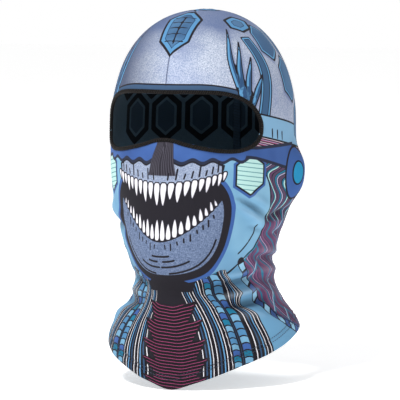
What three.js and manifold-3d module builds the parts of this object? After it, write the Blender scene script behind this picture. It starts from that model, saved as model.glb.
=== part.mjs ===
// A one-panel stretch balaclava, held open in the shape it takes on a head.
// Millimetres, +Z up. The wearer looks along -Y and their left side is +X.
// The origin is in the middle of the wearer's head, level with the middle of the eye opening.

import * as THREE from "three";
import { mergeVertices } from "three/addons/utils/BufferGeometryUtils.js";
import Module from "manifold-3d";

const wasm = await Module();
wasm.setup();

// The hood's outer shape. Each level has its depth below the eyes, its half width, how far
// behind the origin it is widest, and how far it reaches to the front and to the back.
const crownHeight = 96;
const levels = {
  crown: { depth: -38, halfWidth: 78.5, widest: 6, front: 97.5, back: 93 },
  brow: { depth: -6, halfWidth: 80, widest: 4, front: 97.5, back: 92 },
  cheekbone: { depth: 22, halfWidth: 80.5, widest: 3, front: 97.5, back: 91 },
  upperLip: { depth: 50, halfWidth: 80, widest: 3, front: 97, back: 90 },
  lowerLip: { depth: 80, halfWidth: 75.5, widest: 2, front: 94.5, back: 76 },
  chin: { depth: 104, halfWidth: 68.5, widest: 1, front: 93.5, back: 60 },
  underChin: { depth: 124, halfWidth: 62, widest: 1, front: 87, back: 63 },
  throat: { depth: 140, halfWidth: 60.5, widest: 4, front: 74, back: 76 },
  neck: { depth: 150, halfWidth: 61, widest: 7, front: 70, back: 81 },
  collar: { depth: 163, halfWidth: 68, widest: 7, front: 70, back: 84 },
  shoulder: { depth: 178, halfWidth: 80, widest: 7, front: 75, back: 89 },
  yoke: { depth: 190, halfWidth: 85.5, widest: 7, front: 80, back: 92 },
  skirt: { depth: 235, halfWidth: 83, widest: 7, front: 84, back: 90 },
};
const crownSideBend = 2.15; // 2 is a true ellipse, and more is squarer
const crownFrontBend = 2.5;
const noseHeight = 8; // how far the nose pushes the cloth out
const noseDepth = 33;
const earHeight = 10.5;
const earDepth = 49;

// The hem's depth below the eyes, at angles round from the front
const hemLine = [
  { angle: 0, depth: 231 },
  { angle: 14, depth: 225.5 },
  { angle: 40, depth: 212 },
  { angle: 65, depth: 199.5 },
  { angle: 90, depth: 189 },
  { angle: 115, depth: 185.5 },
  { angle: 150, depth: 191 },
  { angle: 180, depth: 195 },
];

// The eye opening, measured along the cloth from the middle of the face
const eyeHalfWidth = 93;
const eyeTop = 26.5;
const eyeBottom = 22.5;
const noseRise = 10;
const clothRound = 85; // millimetres of cloth to one radian round the face

// Cloth, binding and thread
const panelThickness = 1.1;
const hemTurnUp = 13;
const bindingWidth = 3.6;
const bindingThickness = 0.8;
const seamWidth = 7;
const seamThickness = 1.2;
const seamEndClearance = 4;
const hemThread = 0.5; // radius of a needle thread
const bindingThread = 0.4;
const needleSpacing = 3.2;
const looperWidth = 4;
const looperThickness = 0.8;
const gap = 0.3; // clear space between pieces that touch

const around = 40; // facets round the hood
const domeRows = 8;
const wallRows = 18;
const span = Math.PI * 2;

const radians = THREE.MathUtils.degToRad;

// A smooth curve through values kept at rising positions
function smoothTable(positions, rows) {
  const width = rows[0].length;
  const curve = new THREE.CubicInterpolant(positions, rows.flat(), width);
  curve.settings = { endingStart: THREE.ZeroSlopeEnding, endingEnd: THREE.ZeroSlopeEnding };
  const first = positions[0];
  const last = positions[positions.length - 1];
  return (at) => Array.from(curve.evaluate(THREE.MathUtils.clamp(at, first, last)));
}

const levelList = Object.values(levels);
const sectionAt = smoothTable(
  levelList.map((level) => level.depth),
  levelList.map((level) => [level.halfWidth, level.widest, level.front, level.back]),
);
const hemAt = smoothTable(
  hemLine.map((point) => point.angle),
  hemLine.map((point) => [point.depth]),
);

function hemHeight(turn) {
  const wrapped = Math.abs(THREE.MathUtils.euclideanModulo(turn + Math.PI, span) - Math.PI);
  return -hemAt(THREE.MathUtils.radToDeg(wrapped))[0];
}

function domeScale(height, bend) {
  if (height <= 0) return 1;
  return (1 - Math.min(height / crownHeight, 1) ** bend) ** (1 / bend);
}

// A point of the hood's outer face: turn is 0 at the front and rises to the wearer's left
function surfacePoint(turn, height) {
  const [halfWidth, widest, front, back] = sectionAt(-height);
  const side = domeScale(height, crownSideBend);
  const fore = domeScale(height, crownFrontBend);
  const along = Math.cos(turn);
  const reach = along > 0 ? (front + widest) * fore : (back - widest) * side;
  const point = new THREE.Vector3(halfWidth * side * Math.sin(turn), widest - reach * along, height);
  const turned = THREE.MathUtils.euclideanModulo(turn + Math.PI, span) - Math.PI;
  const noseTurn = turned / radians(9.5);
  const noseLevel = (height + noseDepth) / 15;
  point.y -= noseHeight * Math.exp(-noseTurn * noseTurn - noseLevel * noseLevel);
  const earTurn = (Math.abs(turned) - radians(97)) / radians(11);
  const earLevel = Math.abs(height + earDepth) / 23;
  point.x += Math.sign(turned) * earHeight * Math.exp(-(earTurn ** 2) - earLevel ** 3);
  return point;
}

// The same point moved off the outer face, out of the hood or, below 0, into it
function offsetPoint(turn, height, out) {
  const step = 0.01;
  const point = surfacePoint(turn, height);
  const roundward = surfacePoint(turn + step, height).sub(surfacePoint(turn - step, height));
  const upward = surfacePoint(turn, height + step).sub(surfacePoint(turn, height - step));
  return point.addScaledVector(roundward.cross(upward).normalize(), out);
}

// Any closed geometry, with its vertices placed by a function of its old place and its uv
function placed(geometry, place) {
  const position = geometry.attributes.position;
  const uv = geometry.attributes.uv;
  for (let i = 0; i < position.count; i++) {
    const old = new THREE.Vector3().fromBufferAttribute(position, i);
    const at = place(old, uv.getX(i), uv.getY(i));
    position.setXYZ(i, at.x, at.y, at.z);
  }
  geometry.deleteAttribute("normal");
  geometry.deleteAttribute("uv");
  return mergeVertices(geometry, 1e-3);
}

function toSolid(geometry) {
  const vertProperties = new Float32Array(geometry.attributes.position.array);
  const triVerts = new Uint32Array(geometry.index.array);
  const solid = new wasm.Manifold(new wasm.Mesh({ numProp: 3, vertProperties, triVerts }));
  if (solid.volume() > 0) return solid;
  for (let i = 0; i < triVerts.length; i += 3) {
    [triVerts[i], triVerts[i + 1]] = [triVerts[i + 1], triVerts[i]];
  }
  return new wasm.Manifold(new wasm.Mesh({ numProp: 3, vertProperties, triVerts }));
}

function toGeometry(solid) {
  const mesh = solid.getMesh();
  const geometry = new THREE.BufferGeometry();
  const corners = new Float32Array(mesh.numVert * 3);
  for (let i = 0; i < mesh.numVert; i++) {
    const start = i * mesh.numProp;
    corners.set(mesh.vertProperties.subarray(start, start + 3), i * 3);
  }
  geometry.setAttribute("position", new THREE.BufferAttribute(corners, 3));
  geometry.setIndex(new THREE.BufferAttribute(new Uint32Array(mesh.triVerts), 1));
  geometry.computeVertexNormals();
  return geometry;
}

// A closed body made of rows, each a function of the turn; the first and last are poles
function stacked(rows) {
  const last = rows.length - 1;
  return placed(new THREE.SphereGeometry(1, around, last), (old, u, v) => {
    const row = rows[Math.round((1 - v) * last)];
    return row((u - 0.5) * span);
  });
}

const deepest = Math.max(...hemLine.map((point) => point.depth));
const formFloor = -(deepest + 12);

function hoodRows() {
  const rows = [];
  for (let i = 0; i < domeRows; i++) {
    const height = crownHeight * Math.cos((i / domeRows) * (Math.PI / 2));
    rows.push((turn) => surfacePoint(turn, height));
  }
  for (let i = 0; i <= wallRows; i++) {
    const height = formFloor * (i / wallRows);
    rows.push((turn) => surfacePoint(turn, height));
  }
  rows.push(() => new THREE.Vector3(0, levels.skirt.widest, formFloor));
  return rows;
}

// The whole inside of the hood's outer face, grown by out, or shrunk where out is below 0
function hoodBody(out) {
  const geometry = stacked(hoodRows());
  geometry.computeVertexNormals();
  const position = geometry.attributes.position;
  const normal = geometry.attributes.normal;
  for (let i = 0; i < position.count; i++) {
    const point = new THREE.Vector3().fromBufferAttribute(position, i);
    const away = new THREE.Vector3().fromBufferAttribute(normal, i);
    if (point.z < formFloor + 1) away.setZ(0).normalize();
    point.addScaledVector(away, out);
    position.setXYZ(i, point.x, point.y, point.z);
  }
  return toSolid(geometry);
}

// Everything below a line that runs a given height above the hem
function belowHem(rise) {
  const inner = 0.25;
  const outer = 1.8;
  const beside = 0.04; // two edges close on each side of the cloth keep the cut line even
  const centre = levels.yoke.widest;
  const floor = formFloor - 20;
  const line = (turn) => hemHeight(turn) + rise;
  const edge = (share, height) => (turn) => {
    const point = surfacePoint(turn, line(turn));
    return new THREE.Vector3(point.x * share, centre + (point.y - centre) * share, height(turn));
  };
  return toSolid(
    stacked([
      () => new THREE.Vector3(0, centre, line(Math.PI / 2)),
      edge(inner, line),
      edge(1 - beside, line),
      edge(1 + beside, line),
      edge(outer, line),
      edge(outer, () => floor),
      () => new THREE.Vector3(0, centre, floor),
    ]),
  );
}

// The eye opening's outline on the spread cloth, moved into the opening by inset
function eyeOutline(inset, steps) {
  const half = [
    [0.32, eyeTop],
    [0.6, eyeTop - 1.5],
    [0.81, eyeTop * 0.72],
    [0.95, eyeTop * 0.3],
    [1, -eyeBottom * 0.2],
    [0.95, -eyeBottom * 0.72],
    [0.78, -eyeBottom],
    [0.56, -eyeBottom],
    [0.28, -eyeBottom + noseRise * 0.45],
    [0.1, -eyeBottom + noseRise * 0.9],
  ];
  const right = half.map(([share, height]) => new THREE.Vector3(share * eyeHalfWidth, height, 0));
  const left = right.map((point) => new THREE.Vector3(-point.x, point.y, 0)).reverse();
  const middleTop = new THREE.Vector3(0, eyeTop, 0);
  const middleBottom = new THREE.Vector3(0, noseRise - eyeBottom, 0);
  const curve = new THREE.CatmullRomCurve3([middleTop, ...right, middleBottom, ...left], true);
  const points = [];
  for (let i = 0; i < steps; i++) {
    const point = curve.getPointAt(i / steps);
    const forward = curve.getTangentAt(i / steps);
    points.push(new THREE.Vector2(point.x - inset * -forward.y, point.y - inset * forward.x));
  }
  return points;
}

const eyeSteps = 52;

// A block that runs outwards from inside the head and has the eye opening's outline
function eyeCutter(inset) {
  const near = 0.2;
  const far = 6;
  const block = new THREE.ExtrudeGeometry(new THREE.Shape(eyeOutline(inset, eyeSteps)), {
    depth: 1,
    steps: 1,
    bevelEnabled: false,
  });
  return toSolid(
    placed(block, (old) => {
      const point = surfacePoint(old.x / clothRound, old.y);
      const axis = new THREE.Vector3(0, 0, old.y);
      return axis.lerp(point, old.z > 0.5 ? far : near);
    }),
  );
}

// The opened hood between two offsets of its outer face
function openShell(outer, inner, inset) {
  return hoodBody(outer).subtract(hoodBody(inner)).subtract(eyeCutter(inset));
}

// A closed ring that follows a path; corner gives a place for each step and section corner
function ring(steps, corners, place) {
  const torus = new THREE.TorusGeometry(2, 1, corners, steps);
  return placed(torus, (old, u, v) => {
    const step = Math.round(u * steps) % steps;
    const corner = Math.round(v * corners) % corners;
    return place(step / steps, corner / corners);
  });
}

function makePanel() {
  const cavity = hoodBody(-panelThickness).subtract(belowHem(hemTurnUp));
  const hemCavity = hoodBody(-2 * panelThickness);
  return hoodBody(0).subtract(cavity.add(hemCavity)).subtract(eyeCutter(0)).subtract(belowHem(0));
}

// A place beside the eye opening's edge: reach is out over the cloth and out is off its face
function besideEye(path, reach, out) {
  const step = Math.round(path * eyeSteps) % eyeSteps;
  const edge = eyeOutline(-reach, eyeSteps)[step];
  return offsetPoint(edge.x / clothRound, edge.y, out);
}

// A strip folded round the cut edge, with the panel's edge in its fold
function makeBinding() {
  const outside = gap + bindingThickness;
  const inside = -(panelThickness + gap + bindingThickness);
  const section = [
    [bindingWidth, outside],
    [-outside, outside],
    [-outside, inside],
    [bindingWidth, inside],
  ];
  const band = toSolid(
    ring(eyeSteps, section.length, (path, share) => {
      const [reach, out] = section[Math.round(share * section.length)];
      return besideEye(path, reach, out);
    }),
  );
  return band.subtract(openShell(gap, -(panelThickness + gap), gap));
}

function roundSection(share, radius) {
  return [Math.cos(share * span) * radius, Math.sin(share * span) * radius];
}

function makeBindingThread() {
  const centre = 2 * gap + bindingThickness + 2 * bindingThread;
  return toSolid(
    ring(eyeSteps, 4, (path, share) => {
      const [reach, out] = roundSection(share, bindingThread);
      return besideEye(path, bindingWidth / 2 + reach, centre + out);
    }),
  );
}

// A needle thread that runs round the hood at a given height above the hem's edge
function makeHemThread(rise) {
  return toSolid(
    ring(around, 4, (path, share) => {
      const turn = path * span;
      const [up, out] = roundSection(share, hemThread);
      return offsetPoint(turn, hemHeight(turn) + rise + up, 2 * gap + hemThread + out);
    }),
  );
}

const upperNeedle = hemTurnUp - 2;

// The flat looper thread that covers the turned-up edge inside
function makeLooper() {
  const middle = upperNeedle - needleSpacing / 2;
  const section = [
    [looperWidth / 2, 0],
    [-looperWidth / 2, 0],
    [-looperWidth / 2, -looperThickness],
    [looperWidth / 2, -looperThickness],
  ];
  return toSolid(
    ring(around, section.length, (path, share) => {
      const turn = path * span;
      const [up, out] = section[Math.round(share * section.length)];
      const depth = -(2 * panelThickness + 3 * gap);
      return offsetPoint(turn, hemHeight(turn) + middle + up, depth + out);
    }),
  );
}

// The panel's two joined edges under their overlock thread, from the eye opening over the
// crown and down the back to the turned-up hem
function makeCentreSeam() {
  const start = eyeTop + bindingWidth + seamEndClearance;
  const finish = hemHeight(Math.PI) + hemTurnUp + seamEndClearance;
  const path = [];
  const rows = 14;
  const lowest = Math.acos(start / crownHeight);
  for (let i = 0; i < rows; i++) {
    path.push(surfacePoint(0, crownHeight * Math.cos(lowest * (1 - i / rows))));
  }
  for (let i = 0; i < rows; i++) {
    path.push(surfacePoint(Math.PI, crownHeight * Math.cos((i / rows) * (Math.PI / 2))));
  }
  for (let i = 0; i <= rows; i++) {
    path.push(surfacePoint(Math.PI, finish * (i / rows)));
  }
  const steps = path.length - 1;
  const strip = placed(new THREE.BoxGeometry(1, 1, 1, steps, 1, 1), (old) => {
    const i = Math.round((old.x + 0.5) * steps);
    const forward = path[Math.min(i + 1, steps)].clone().sub(path[Math.max(i - 1, 0)]).normalize();
    const inward = new THREE.Vector3(0, forward.z, -forward.y);
    const depth = old.z < 0 ? panelThickness : panelThickness + gap + seamThickness;
    const at = path[i].clone().addScaledVector(inward, depth);
    return at.setX(old.y * seamWidth);
  });
  return toSolid(strip).subtract(openShell(gap, -(panelThickness + gap), gap));
}

function piece(name, solid, colour, roughness) {
  const material = new THREE.MeshStandardMaterial({ color: colour, roughness, metalness: 0 });
  const mesh = new THREE.Mesh(toGeometry(solid), material);
  mesh.name = name;
  return mesh;
}

const balaclava = new THREE.Group();
balaclava.add(
  piece("hood_panel", makePanel(), 0x8094b8, 0.75),
  piece("eye_binding", makeBinding(), 0x15161b, 0.85),
  piece("eye_binding_thread", makeBindingThread(), 0x24262e, 0.7),
  piece("centre_seam_overlock", makeCentreSeam(), 0x2c3038, 0.8),
  piece("hem_needle_thread_upper", makeHemThread(upperNeedle), 0x3b4250, 0.7),
  piece("hem_needle_thread_lower", makeHemThread(upperNeedle - needleSpacing), 0x3b4250, 0.7),
  piece("hem_looper_thread", makeLooper(), 0x2c3038, 0.8),
);

export default balaclava;
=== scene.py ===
import bpy
import bmesh
import math
import numpy as np
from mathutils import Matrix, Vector


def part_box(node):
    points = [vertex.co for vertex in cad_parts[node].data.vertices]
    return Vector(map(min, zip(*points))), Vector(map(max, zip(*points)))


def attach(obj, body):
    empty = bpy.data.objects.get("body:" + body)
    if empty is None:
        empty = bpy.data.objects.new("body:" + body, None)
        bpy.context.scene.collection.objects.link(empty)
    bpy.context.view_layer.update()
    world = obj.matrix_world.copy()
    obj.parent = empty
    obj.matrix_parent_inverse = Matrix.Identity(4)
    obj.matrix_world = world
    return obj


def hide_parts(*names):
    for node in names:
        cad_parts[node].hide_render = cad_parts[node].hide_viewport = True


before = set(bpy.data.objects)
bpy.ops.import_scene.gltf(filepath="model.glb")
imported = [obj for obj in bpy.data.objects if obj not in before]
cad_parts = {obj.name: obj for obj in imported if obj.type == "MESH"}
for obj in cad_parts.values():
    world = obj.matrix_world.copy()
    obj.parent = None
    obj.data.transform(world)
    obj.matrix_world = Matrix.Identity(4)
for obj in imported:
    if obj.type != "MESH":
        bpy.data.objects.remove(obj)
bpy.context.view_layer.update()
print("frame loaded:", sorted(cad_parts))

mm = 0.001
hoodLow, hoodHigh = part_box("hood_panel")

# Degrees round to the wearer's left and up, metres away, and how much the frame spans at that distance
view = {"azimuth": 20, "elevation": 5, "distance": 2.6, "lens": 135, "aim": (0.0, 0.0, -0.0735),
        "shiftX": -0.0085, "span": 0.356}


def makeCamera():
    az, el = math.radians(view["azimuth"]), math.radians(view["elevation"])
    away = Vector((math.sin(az) * math.cos(el), -math.cos(az) * math.cos(el), math.sin(el)))
    data = bpy.data.cameras.new("studioCamera")
    data.lens = view["lens"]
    data.sensor_width = view["lens"] * view["span"] / view["distance"]
    data.shift_x = view["shiftX"]
    data.clip_start, data.clip_end = 0.05, 50
    camera = bpy.data.objects.new("studioCamera", data)
    camera.location = Vector(view["aim"]) + away * view["distance"]
    camera.rotation_euler = (-away).to_track_quat("-Z", "Y").to_euler()
    bpy.context.collection.objects.link(camera)
    bpy.context.scene.camera = camera


makeCamera()

# The hood's form, in millimetres. Each level: depth below the eyes, half width, how far behind
# the middle it is widest, and its reach to the front and to the back. The hem: degrees round
# from the front, and its depth as a share of the front point's.
hoodForm = {
    "crown": hoodHigh[2] / mm, "hemTip": -hoodLow[2] / mm,
    "sideBend": 2.15, "frontBend": 2.5, "crownArc": 151, "round": 85,
    "levels": [(-38, 78.5, 6, 97.5, 93), (-6, 80, 4, 97.5, 92), (22, 80.5, 3, 97.5, 91),
               (50, 80, 3, 97, 90), (80, 75.5, 2, 94.5, 76), (104, 68.5, 1, 93.5, 60),
               (124, 62, 1, 87, 63), (140, 60.5, 4, 74, 76), (150, 61, 7, 70, 81),
               (163, 68, 7, 70, 84), (178, 80, 7, 75, 89), (190, 85.5, 7, 80, 92), (235, 83, 7, 84, 90)],
    "hem": [(0, 1), (14, 0.976), (40, 0.918), (65, 0.864), (90, 0.818), (115, 0.803), (150, 0.827), (180, 0.844)],
    "nose": {"out": 8, "round": 9.5, "up": -33, "tall": 15},
    "ear": {"out": 10.5, "at": 97, "round": 11, "up": -49, "tall": 23},
    "thickness": 0.8, "turnUp": 13, "foldRadius": 1.0,
}

# Folds in the cloth: from and to (mm round, mm up), height, half width. Then how much wider the inner
# face takes the hollows, and the shallow grooves of the seam and the hem stitch with the swell beside them.
folds = [
    ((52, -153), (106, -147), 5.0, 4.0), ((48, -144), (104, -138), -4.4, 3.4), ((56, -161), (112, -157), -4.6, 3.6),
    ((60, -134), (98, -130), 2.6, 3.4), ((60, -169), (104, -170), 2.6, 4.4), ((92, -166), (140, -176), -2.4, 4.0),
    ((68, -65), (104, -83), -3.4, 2.6), ((66, -71), (102, -89), 2.8, 3.4), ((72, -58), (104, -74), 1.8, 3.4),
    ((84, -90), (104, -96), -1.4, 2.4), ((104, -86), (138, -80), -4.6, 4.0), ((96, -111), (160, -119), 3.2, 4.0),
    ((98, -119), (168, -126), -3.2, 3.4), ((100, -130), (176, -136), 3.0, 4.2), ((104, -141), (170, -147), -2.6, 3.6),
    ((112, -99), (158, -102), -2.6, 3.2), ((30, -139), (52, -146), -1.6, 3.2), ((112, -152), (160, -160), 2.2, 4.4),
    ((-104, -74), (-62, -84), 3.0, 5.0), ((-108, -86), (-64, -95), -3.2, 4.6), ((-100, -138), (-46, -143), -3.6, 4.4),
    ((-98, -150), (-48, -152), 3.8, 5.4), ((-104, -162), (-50, -160), -3.4, 4.6), ((-160, -118), (-98, -112), 2.8, 5.0),
    ((-170, -132), (-100, -125), -2.8, 5.0), ((-140, -82), (-106, -88), -4.0, 5.4), ((-124, -178), (-80, -168), 2.2, 6.0),
    ((-34, -230), (-20, -168), 1.2, 5.0), ((38, -226), (26, -170), 1.3, 5.0), ((62, -214), (56, -172), -1.4, 5.0),
    ((88, -206), (70, -176), 1.4, 5.0), ((-72, -206), (-60, -176), 1.3, 6.0),
]
innerWiden = 3.2
seamGroove = {"depth": 0.55, "width": 0.9, "swell": 0.4, "swellAt": 3, "swellWidth": 2.2}
hemGroove = {"depth": 0.45, "below": 3.5, "width": 2.4, "swell": 0.25, "swellAt": 4.5, "swellWidth": 3.5}


def bump(at, width):
    return np.exp(-(at / width) ** 2)


def smoothTable(at, rows):
    # cubic through the rows, flat at both ends
    rows = np.asarray(rows, float)
    place, value = rows[:, 0], rows[:, 1:]
    gap = np.diff(place)
    slope = np.diff(value, axis=0) / gap[:, None]
    bend = np.zeros_like(value)
    bend[1:-1] = (slope[:-1] * gap[1:, None] + slope[1:] * gap[:-1, None]) / (gap[1:] + gap[:-1])[:, None]
    at = np.clip(at, place[0], place[-1])
    i = np.clip(np.searchsorted(place, at, side="right") - 1, 0, len(place) - 2)
    t = ((at - place[i]) / gap[i])[..., None]
    g = gap[i][..., None]
    return ((2 * t**3 - 3 * t**2 + 1) * value[i] + (t**3 - 2 * t**2 + t) * g * bend[i]
            + (3 * t**2 - 2 * t**3) * value[i + 1] + (t**3 - t**2) * g * bend[i + 1])


def hemHeight(turn):
    wrapped = np.degrees(np.abs((turn + np.pi) % (2 * np.pi) - np.pi))
    return -hoodForm["hemTip"] * smoothTable(wrapped, hoodForm["hem"])[..., 0]


def heightOf(up):
    # distance up the cloth to height: the same below the eyes, an arc over the crown above them
    angle = np.pi / 2 * (1 - np.clip(up, 0, hoodForm["crownArc"]) / hoodForm["crownArc"])
    return np.where(up > 0, hoodForm["crown"] * np.cos(angle), up)


def formPoint(turn, up):
    height = heightOf(up)
    level = smoothTable(-height, hoodForm["levels"])
    ratio = np.clip(height / hoodForm["crown"], 0, 1)
    side = (1 - ratio ** hoodForm["sideBend"]) ** (1 / hoodForm["sideBend"])
    fore = (1 - ratio ** hoodForm["frontBend"]) ** (1 / hoodForm["frontBend"])
    halfWidth, widest, front, back = (level[..., k] for k in range(4))
    along = np.cos(turn)
    reach = np.where(along > 0, (front + widest) * fore, (back - widest) * side)
    wrapped = (turn + np.pi) % (2 * np.pi) - np.pi
    nose, ear = hoodForm["nose"], hoodForm["ear"]
    beside, above = wrapped / math.radians(nose["round"]), (height - nose["up"]) / nose["tall"]
    noseOut = nose["out"] * np.exp(-beside ** 2 - above ** 2)
    earOut = ear["out"] * np.exp(-((np.abs(wrapped) - math.radians(ear["at"])) / math.radians(ear["round"])) ** 2
                                 - np.abs((height - ear["up"]) / ear["tall"]) ** 3)
    x = halfWidth * side * np.sin(turn) + np.sign(wrapped) * earOut
    return np.stack([x, widest - reach * along - noseOut, height], -1)


def seamDistance(turn, up):
    # millimetres to the sewn line, over the brow and crown and down the back
    front = np.where(up > 30, np.abs(turn), 99)
    closeness = np.cos(np.pi / 2 * np.clip(up / hoodForm["crownArc"], 0, 1))
    return np.minimum(front, np.pi - np.abs(turn)) * hoodForm["round"] * closeness


def foldHeight(turn, up, inside=False):
    # inside, only the hollows count, and wider, so that the coarser inner face stays within the outer
    across = turn * hoodForm["round"]
    lift = np.zeros_like(across)
    for (s0, h0), (s1, h1), size, width in folds:
        if inside:
            size, width = min(size, 0), width + innerWiden
        ds, dh = s1 - s0, h1 - h0
        t = np.clip(((across - s0) * ds + (up - h0) * dh) / (ds * ds + dh * dh), 0, 1)
        away = np.hypot(across - s0 - t * ds, up - h0 - t * dh)
        lift += size * bump(away, width) * (0.35 + 0.65 * np.sin(np.pi * t))  # lower at the ends
    g, seam = seamGroove, seamDistance(turn, up)
    lift += g["swell"] * bump(seam - g["swellAt"], g["swellWidth"]) - g["depth"] * bump(seam, g["width"])
    g, rise = hemGroove, up - hemHeight(turn)
    lift += g["swell"] * bump(rise - g["swellAt"], g["swellWidth"])
    lift -= g["depth"] * bump(rise - hoodForm["turnUp"] + g["below"], g["width"])
    return lift


def clothPoint(turn, up, inside=False):
    step = 0.02
    e = step / hoodForm["round"]
    here = formPoint(turn, up)
    roundward = formPoint(turn + e, up) - formPoint(turn - e, up)
    upward = formPoint(turn, np.minimum(up + step, 150.9)) - formPoint(turn, up - step)
    normal = np.cross(roundward, upward)
    size = np.linalg.norm(normal, axis=-1, keepdims=True)
    normal = np.where(size > 1e-9, normal / np.maximum(size, 1e-9), [0.0, 0.0, 1.0])
    return here + normal * foldHeight(turn, up, inside)[..., None], normal


# The eye opening along the cloth: the pull narrows its wearer's-left half
eyeHole = {"halfWidth": 93, "pull": 0.965, "top": 26.5, "bottom": 22.5, "rise": 10, "steps": 560}


def smoothLoop(points, steps, closed=True):
    # evenly spaced points of a smooth curve through a few
    p = np.asarray(points, float)
    n = len(p)
    count = n if closed else n - 1
    fine = []
    for i in range(count):
        if closed:
            a, b, c, d = p[(i - 1) % n], p[i], p[(i + 1) % n], p[(i + 2) % n]
        else:
            a, b, c, d = p[max(i - 1, 0)], p[i], p[i + 1], p[min(i + 2, n - 1)]
        t = np.linspace(0, 1, 24, endpoint=False)[:, None]
        fine.append(0.5 * (2 * b + (c - a) * t + (2 * a - 5 * b + 4 * c - d) * t**2 + (3 * b - a - 3 * c + d) * t**3))
    fine = np.vstack(fine + [p[:1] if closed else p[-1:]])
    run = np.concatenate([[0], np.cumsum(np.linalg.norm(np.diff(fine, axis=0), axis=1))])
    at = np.linspace(0, run[-1], steps, endpoint=not closed)
    return np.stack([np.interp(at, run, fine[:, k]) for k in range(p.shape[1])], -1)


def eyeOutline():
    w, top, low, rise = eyeHole["halfWidth"], eyeHole["top"], eyeHole["bottom"], eyeHole["rise"]
    half = [(0.32, top), (0.6, top - 1.5), (0.81, top * 0.72), (0.95, top * 0.3), (1, -low * 0.2), (0.95, -low * 0.72),
            (0.78, -low), (0.56, -low), (0.28, -low + rise * 0.45), (0.1, -low + rise * 0.9)]
    right = [(share * w * eyeHole["pull"], h) for share, h in half]
    left = [(-share * w, h) for share, h in reversed(half)]
    return smoothLoop([(0, top)] + right + [(0, rise - low)] + left, eyeHole["steps"])


def signedDistance(outline, across, up, reach=14.0):
    # millimetres inside an outline, negative outside it; -reach beyond its surroundings
    p = np.asarray(outline, float)
    q = np.roll(p, -1, axis=0)
    low, high = p.min(0) - reach, p.max(0) + reach
    near = (across > low[0]) & (across < high[0]) & (up > low[1]) & (up < high[1])
    found = np.full(across.shape, -reach)
    x, y = across[near], up[near]
    if not len(x):
        return found
    best, inside = np.full(x.shape, 1e9), np.zeros(x.shape, bool)
    for (ax, ay), (bx, by) in zip(p, q):
        dx, dy = bx - ax, by - ay
        t = np.clip(((x - ax) * dx + (y - ay) * dy) / max(dx * dx + dy * dy, 1e-9), 0, 1)
        best = np.minimum(best, (x - ax - t * dx) ** 2 + (y - ay - t * dy) ** 2)
        crosses = (ay > y) != (by > y)
        inside ^= crosses & (x < (bx - ax) * (y - ay) / (by - ay + 1e-12) + ax)
    away = np.sqrt(best)
    found[near] = np.maximum(np.where(inside, away, -away), -reach)
    return found


# Mesh steps: (mm round, step), (mm up, step), and the steps from the hem's fold to the raw edge
clothMesh = {
    "columns": [(60, 3.4), (160, 3.5), (220, 4.4)], "rows": [(-170, 3.0), (-140, 3.4)],
    "foldSteps": [0.8, 1.6, 2.4, 3.2, 5.5, 8, 10.5, 13, 15.5], "holeMargin": 1.0,
}
# Where the mesh is finer: cuts, longest edge left whole, whether it is the inner face, whether it is
# only on the wearer's left, and boxes of mm round and mm up
meshZones = [
    (3, 2.2, 0, False, [(-1, 68, -142, -26)]),
    (1, 2.2, 0, False, [(64, 97, -152, -28), (64, 97, 30, 60), (97, 152, -152, 60), (-1, 112, -236, -140),
                        (-1, 60, 56, 145), (-1, 268, 60, 145)]),
    (1, 1.2, 0, True, [(62, 112, -104, -48), (62, 112, -168, -128), (46, 63, -166, -143)]),
    (1, 2.2, 1, False, [(140, 268, -38, 42)]),
]


def unevenSteps(low, high, spacing):
    # places from low to high whose distances follow spacing(place)
    fine = np.linspace(low, high, 4000)
    run = np.concatenate([[0], np.cumsum(np.diff(fine) / spacing((fine[1:] + fine[:-1]) / 2))])
    count = 2 * int(round(run[-1] / 2))
    return np.interp(np.linspace(0, run[-1], count + 1), run, fine)


def spacingFrom(table):
    return lambda at: np.interp(at, *zip(*table))


def placeCloth(bm):
    floats = bm.verts.layers.float
    turn, up, fold = (np.array([v[floats[name]] for v in bm.verts]) for name in ("turn", "up", "fold"))
    inner = np.array([v[bm.verts.layers.int["inner"]] for v in bm.verts])
    radius = hoodForm["foldRadius"]
    angle = np.clip(fold / radius, 0, np.pi)[:, None]
    past = np.maximum(fold - np.pi * radius, 0)
    base, normal = clothPoint(turn, up + past)
    within, _ = clothPoint(turn, up + past, True)
    base = np.where(((inner > 0) & (fold == 0))[:, None], within, base)
    upward = clothPoint(turn, up + past + 1.0)[0] - base
    upward /= np.linalg.norm(upward, axis=1, keepdims=True) + 1e-12
    facing = normal * np.cos(angle) - upward * np.sin(angle)
    place = base - normal * radius + facing * (radius - hoodForm["thickness"] * inner[:, None])
    for v, co in zip(bm.verts, place * mm):
        v.co = co


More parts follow.
